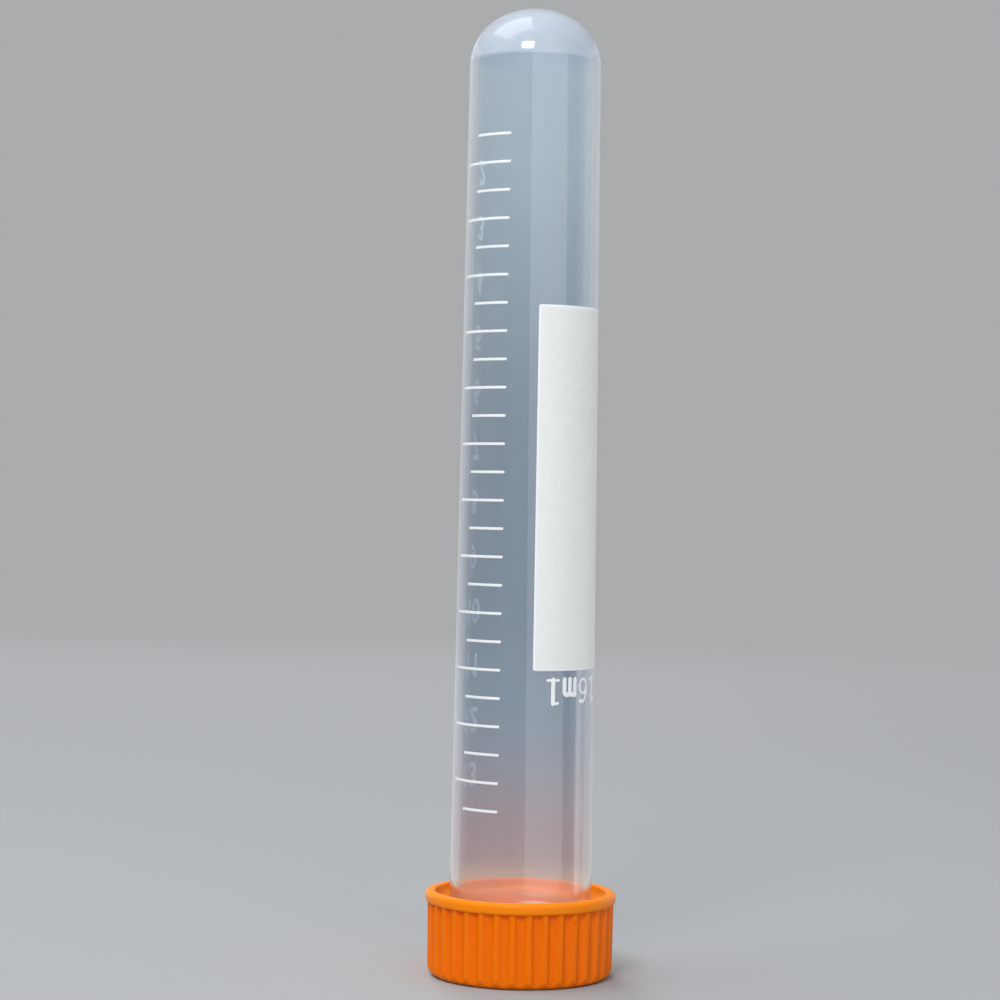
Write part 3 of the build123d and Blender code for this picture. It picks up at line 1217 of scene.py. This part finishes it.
@dataclass
class Cap:
    """The screw cap: a ribbed skirt with a plain rim, and a hollow with an inside thread."""

    low: Vector
    high: Vector
    tube: Tube
    disc_high: float
    end_thickness: float = 1.3 * MM
    radial_clearance: float = 0.2 * MM
    flank_clearance: float = 0.15 * MM
    skirt_wall: float = 1.05 * MM
    draft_degrees: float = 0.7
    end_round: float = 1.2 * MM
    rim_height: float = 1.35 * MM
    rim_round: float = 0.5 * MM
    rim_under_round: float = 0.35 * MM
    mouth_relief: float = 0.65 * MM
    mouth_round: float = 0.3 * MM
    thread_inset: float = 0.3 * MM
    grooves: int = 36
    groove_depth: float = 0.5 * MM
    groove_radius: float = 0.7 * MM
    edge_blend: float = 0.09 * MM
    columns_per_groove: int = 16
    floor_rows: int = 6
    wall_rows: int = 62
    cone_rows: int = 4
    mouth_rows: int = 7
    rim_rows: int = 9
    rim_under_rows: int = 5
    skirt_rows: int = 20
    end_round_rows: int = 14
    end_rows: int = 8

    def __post_init__(self) -> None:
        """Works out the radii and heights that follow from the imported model's box."""
        form = self.tube.thread
        self.wall_radius = self.tube.lip_radius + form.depth + self.radial_clearance
        self.groove_bottom = self.wall_radius + self.skirt_wall
        self.skirt_radius = self.groove_bottom + self.groove_depth
        self.rim_radius = self.high.x
        self.rim_under = self.high.z - self.rim_height
        slope = math.tan(math.radians(self.draft_degrees))
        self.end_radius = self.skirt_radius - (self.rim_under - self.end_round) * slope
        self.mouth_radius = self.wall_radius + self.mouth_relief
        self.cone_low = self.high.z - self.mouth_round - 2 * self.mouth_relief
        flank = math.tan(math.radians(form.flank_degrees))
        engaged = form.depth - self.radial_clearance
        shift = form.crest_width + engaged * flank + self.flank_clearance
        inset = self.thread_inset + form.crest_width / 2 + form.depth * flank
        low, high = self.disc_high + inset, self.cone_low - inset
        self.thread = Thread(start=form.start + shift, low=low, high=high)

    def grooved(self, radius: Array, angle: Array) -> Array:
        """Cuts the grip grooves into a round skirt.

        A groove is part of a circle of groove_radius about a point C beyond the skirt: at
        the offset f from its middle it lies C cos f - root(R^2 - C^2 sin^2 f) from the
        axis. The skirt is the lesser of that and its own radius, with a round joint.

        Args:
            radius: the plain skirt's radius, rows by 1.
            angle: angles of the columns.

        Returns:
            Radii, rows by columns.
        """
        pitch = FULL_TURN / self.grooves
        offset = angle - pitch * np.round(angle / pitch)
        centre = self.groove_bottom + self.groove_radius
        square = np.maximum(self.groove_radius**2 - (centre * np.sin(offset)) ** 2, 0.0)
        return Form.smooth_min(radius, centre * np.cos(offset) - np.sqrt(square), self.edge_blend)

    def body(self) -> Object:
        """The whole moulding: out over the hollow's floor, up its wall and thread, over the
        mouth and rim, down the grooved skirt and in over the flat end.

        The surface is the profile turned about Z. The thread is taken from the hollow's
        radius, and the grooves from the skirt's.

        Returns:
            The piece.
        """
        angle = Form.round_angles(self.grooves * self.columns_per_groove)
        wall, floor, top = self.wall_radius, self.end_thickness, self.high.z
        lip, rim, under = self.mouth_round, self.rim_round, self.rim_under_round
        bend, end_side = self.end_round, self.end_radius - self.end_round
        cone_head = (self.mouth_radius, self.cone_low + self.mouth_relief)
        rim_middle = (self.rim_radius - rim, top - rim)
        under_middle = (self.rim_radius - under, self.rim_under + under)
        skirt_head = (self.skirt_radius, self.rim_under)
        hollow = np.concatenate([
            Form.line((0.0, floor), (wall, floor), self.floor_rows),
            Form.line((wall, floor), (wall, self.cone_low), self.wall_rows)[1:],
        ])
        mouth = np.concatenate([
            Form.line((wall, self.cone_low), cone_head, self.cone_rows)[1:],
            Form.arc((self.mouth_radius + lip, top - lip), lip, 180.0, 90.0, self.mouth_rows),
            Form.arc(rim_middle, rim, 90.0, 0.0, self.rim_rows),
            Form.arc(under_middle, under, 0.0, -90.0, self.rim_under_rows),
        ])
        skirt = np.concatenate([
            Form.line(skirt_head, (self.end_radius, bend), self.skirt_rows),
            Form.arc((end_side, bend), bend, 0.0, -90.0, self.end_round_rows)[1:],
        ])
        end = Form.line((end_side, 0.0), (0.0, 0.0), self.end_rows)[1:]
        profile = np.concatenate([hollow, mouth, skirt, end])
        radius = profile[:, :1] * np.ones((1, len(angle)))
        on_wall = hollow[:, :1] >= wall
        radius[: len(hollow)] -= self.thread.rise(hollow[:, 1:], angle) * on_wall
        skirt_start = len(hollow) + len(mouth)
        cut = slice(skirt_start, skirt_start + len(skirt))
        radius[cut] = self.grooved(skirt[:, :1], angle)
        raised = np.ones_like(radius)
        # The mouth and rim get RIM_MARK, which the material turns into a painted highlight.
        raised[len(hollow) : skirt_start] = RIM_MARK
        # 0 at the bottom of the grooves, where the material paints shade.
        raised[cut] = np.clip(1.0 - (skirt[:, :1] - radius[cut]) / self.groove_depth, 0.0, 1.0)
        surface = ClosedSurface()
        surface.add(Form.turned(radius, profile[:, 1:], angle), raised)
        return surface.piece("cap_body", sharp_degrees=50.0, attribute="raised")

    def dress(self, piece: Object, finish: MouldedPlastic) -> None:
        """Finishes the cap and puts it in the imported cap's place.

        Args:
            piece: the cap.
            finish: its finish.
        """
        piece.data.materials.append(finish.material("cap_orange"))
        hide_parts("cap")
        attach(piece, Body.CAP.value)


@dataclass
class SealingDisc:
    """The soft disc that lies on the cap's end and seals the tube's lip."""

    low: Vector
    high: Vector
    edge_round: float = 0.15 * MM
    columns: int = 128
    face_rows: int = 8
    edge_rows: int = 5

    def body(self) -> Object:
        """The disc, turned from its middle on top over its round edge to its middle below.

        Returns:
            The piece.
        """
        corner, top, bottom = self.edge_round, self.high.z, self.low.z
        side = self.high.x - corner
        profile = np.concatenate([
            Form.line((0.0, top), (side, top), self.face_rows),
            Form.arc((side, top - corner), corner, 90.0, 0.0, self.edge_rows)[1:],
            Form.arc((side, bottom + corner), corner, 0.0, -90.0, self.edge_rows),
            Form.line((side, bottom), (0.0, bottom), self.face_rows)[1:],
        ])
        surface = ClosedSurface()
        angle = Form.round_angles(self.columns)
        surface.add(Form.turned(profile[:, :1], profile[:, 1:], angle))
        return surface.piece("disc_body", sharp_degrees=50.0)

    def dress(self, piece: Object, finish: MouldedPlastic) -> None:
        """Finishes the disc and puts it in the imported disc's place.

        Args:
            piece: the disc.
            finish: its finish.
        """
        piece.data.materials.append(finish.material("disc_white"))
        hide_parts("sealing_disc")
        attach(piece, Body.SEALING_DISC.value)


# --- studio ----------------------------------------------------------------------------


class Reach(Enum):
    """What a lamp does to a surface: it lights it, gleams on it, or both."""

    ALL = "all"
    FILL = "fill"
    GLEAM = "gleam"


@dataclass(frozen=True)
class SoftLight:
    """A soft box that looks at a point. Its light fades to nothing at half its spread."""

    name: str
    place: Place
    target: Place
    width: float
    height: float
    watts: float
    reach: Reach = Reach.ALL
    roll_degrees: float = 0.0
    spread_degrees: float = 180.0

    def build(self) -> None:
        """Adds the lamp, which neither the camera nor the light through plastic sees."""
        lamp = bpy.data.lights.new(self.name, "AREA")
        lamp.shape = "RECTANGLE"
        lamp.size, lamp.size_y = self.width, self.height
        lamp.energy = self.watts
        lamp.spread = math.radians(self.spread_degrees)
        obj = new_object(self.name, lamp)
        obj.location = self.place
        direction = Vector(self.target) - Vector(self.place)
        roll = Quaternion((0.0, 0.0, 1.0), math.radians(self.roll_degrees))
        obj.rotation_euler = (direction.to_track_quat("-Z", "Y") @ roll).to_euler()
        obj.visible_camera = False
        obj.visible_transmission = False
        obj.visible_diffuse = self.reach is not Reach.GLEAM
        obj.visible_glossy = self.reach is not Reach.FILL


@dataclass
class Studio:
    """Pale paper floor, soft light and the camera."""

    camera_place: Place = (-3.25 * MM, -304.8 * MM, 55.2 * MM)
    camera_pitch: float = 0.00116
    camera_roll: float = -0.0182
    focal_mm: float = 93.6
    nearest_seen: float = 0.01
    floor_radius: float = 3.0
    floor_hub: float = 0.01
    floor_rings: int = 24
    floor_columns: int = 64
    paper: StudioPaper = StudioPaper()
    room_light: Colour = (0.96, 0.98, 1.0)
    room_strength: float = 0.50

    def camera(self) -> None:
        """Adds the camera, level and square to the tube apart from a slight roll."""
        data = bpy.data.cameras.new("camera")
        data.lens = self.focal_mm
        data.clip_start = self.nearest_seen
        obj = new_object("camera", data)
        pitch = Matrix.Rotation(self.camera_pitch + math.pi / 2, 4, "X")
        turn = Matrix.Rotation(self.camera_roll, 4, "Y") @ pitch
        obj.matrix_world = Matrix.Translation(self.camera_place) @ turn
        bpy.context.scene.camera = obj

    def floor(self) -> None:
        """The round floor: points (r cos a, r sin a, 0), with r growing as a square."""
        rings, columns = self.floor_rings, self.floor_columns
        radius = self.floor_radius * np.linspace(self.floor_hub, 1.0, rings)[:, None] ** 2
        angle = Form.round_angles(columns)
        points = Form.turned(radius, np.zeros_like(radius), angle).reshape(-1, 3)
        index = np.arange(len(points)).reshape(rings, columns)
        mesh = bpy.data.meshes.new("paper_floor")
        mesh.from_pydata(points.tolist(), [], [index[0].tolist(), *Form.ring_faces(index)])
        mesh.materials.append(self.paper.material("studio_paper"))
        new_object("paper_floor", mesh)

    def light(self) -> None:
        """Adds the even room light and the soft boxes. Those that only gleam stand round the
        barrel and draw its upright bands of light.
        """
        bpy.context.scene.world = self.paper.world("studio", self.room_light, self.room_strength)
        dome, neck, level, low = ((0.0, 0.0, z) for z in (0.11, 0.05, 0.060, 0.030))
        fill, gleam = Reach.FILL, Reach.GLEAM
        for box in (
            ("key", (-0.14, -0.488, 0.466), dome, 0.20, 0.15, 2.0),
            ("top", (-0.19, 0.0, 0.52), dome, 0.34, 0.34, 1.0),
            ("front", (0.13, -0.48, 0.25), neck, 0.30, 0.30, 0.45, fill),
            ("back", (-0.27, 1.02, 0.44), level, 0.40, 0.40, 7.5, fill),
            ("window", (0.040, -0.069, 0.060), level, 0.094, 0.17, 0.070, gleam, 9.5),
            ("streak", (0.0793, 0.0104, 0.022), low, 0.02, 0.06, 0.00018, gleam, 0.0, 30.0),
            ("right_side", (0.0773, 0.0207, 0.060), level, 0.085, 0.16, 0.0048, gleam, 0.0, 56.0),
            ("right_edge", (0.0595, 0.0535, 0.060), level, 0.13, 0.16, 0.0126, gleam, 0.0, 90.0),
            ("left_edge", (-0.0515, 0.0612, 0.060), level, 0.15, 0.16, 0.0145, gleam, 0.0, 96.0),
        ):
            SoftLight(*box).build()

    def build(self) -> None:
        """Adds the camera, the floor and the light, and sets the plain view."""
        self.camera()
        self.floor()
        self.light()
        bpy.context.scene.view_settings.view_transform = "Standard"


# --- the object ------------------------------------------------------------------------


def report(piece: Object) -> None:
    """Logs a finished piece's size.

    Args:
        piece: the piece.
    """
    faces = sum(len(polygon.vertices) - 2 for polygon in piece.data.polygons)
    sides = [round(side / MM, 2) for side in piece.dimensions]
    log.info("%s: %d triangles, %s mm", piece.name, faces, sides)


def main() -> None:
    """Builds the pieces in order, dresses them and sets up the studio."""
    logging.basicConfig(level=logging.INFO, format="%(name)s: %(message)s")
    tube = Tube(*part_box("tube"))
    disc = SealingDisc(*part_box("sealing_disc"))
    cap = Cap(*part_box("cap"), tube=tube, disc_high=disc.high.z)
    marks = Print(tube)

    tube_body = tube.body()
    dome = MilkyPlastic(
        upper=(0.74, 0.81, 0.90), middle=(0.74, 0.81, 0.90), cloud=(0.90, 0.94, 0.98),
        clearness=0.62, roughness=0.08,
    )
    tube.dress(tube_body, MilkyPlastic(), dome)
    report(tube_body)

    ink = ScreenInk().material("white_ink")
    thin_ink = ScreenInk(film=0.4 * MM).material("thin_ink")
    patch_ink = ScreenInk(
        colour=(0.80, 0.805, 0.795), thin=(0.76, 0.765, 0.75), edge=(0.88, 0.90, 0.93),
        edge_attribute="edge",
    ).material("patch_ink")
    for piece, material in (
        (marks.scale(), ink),
        (marks.numbers(), thin_ink),
        (marks.capacity_mark(), ink),
        (marks.patch(), patch_ink),
    ):
        marks.dress(piece, material)
        report(piece)

    cap_body = cap.body()
    # The rim colour is a painted highlight, and the darker colour also paints shade in the grooves.
    orange = MouldedPlastic(
        colour=(0.90, 0.185, 0.0006), mottle_and_hollow_shade=(0.85, 0.155, 0.0004), worn=(0.95, 0.260, 0.004),
        rim=(0.98, 0.300, 0.006), roughness=0.38, glow=0.35, gloss=0.10, attribute="raised",
    )
    cap.dress(cap_body, orange)
    report(cap_body)

    disc_body = disc.body()
    white = MouldedPlastic(
        colour=(0.80, 0.80, 0.77), mottle_and_hollow_shade=(0.72, 0.72, 0.69), worn=(0.85, 0.85, 0.82),
        rim=(0.80, 0.80, 0.77), roughness=0.55, glow=0.1,
    )
    disc.dress(disc_body, white)
    report(disc_body)

    Studio().build()


if __name__ == "__main__":
    main()
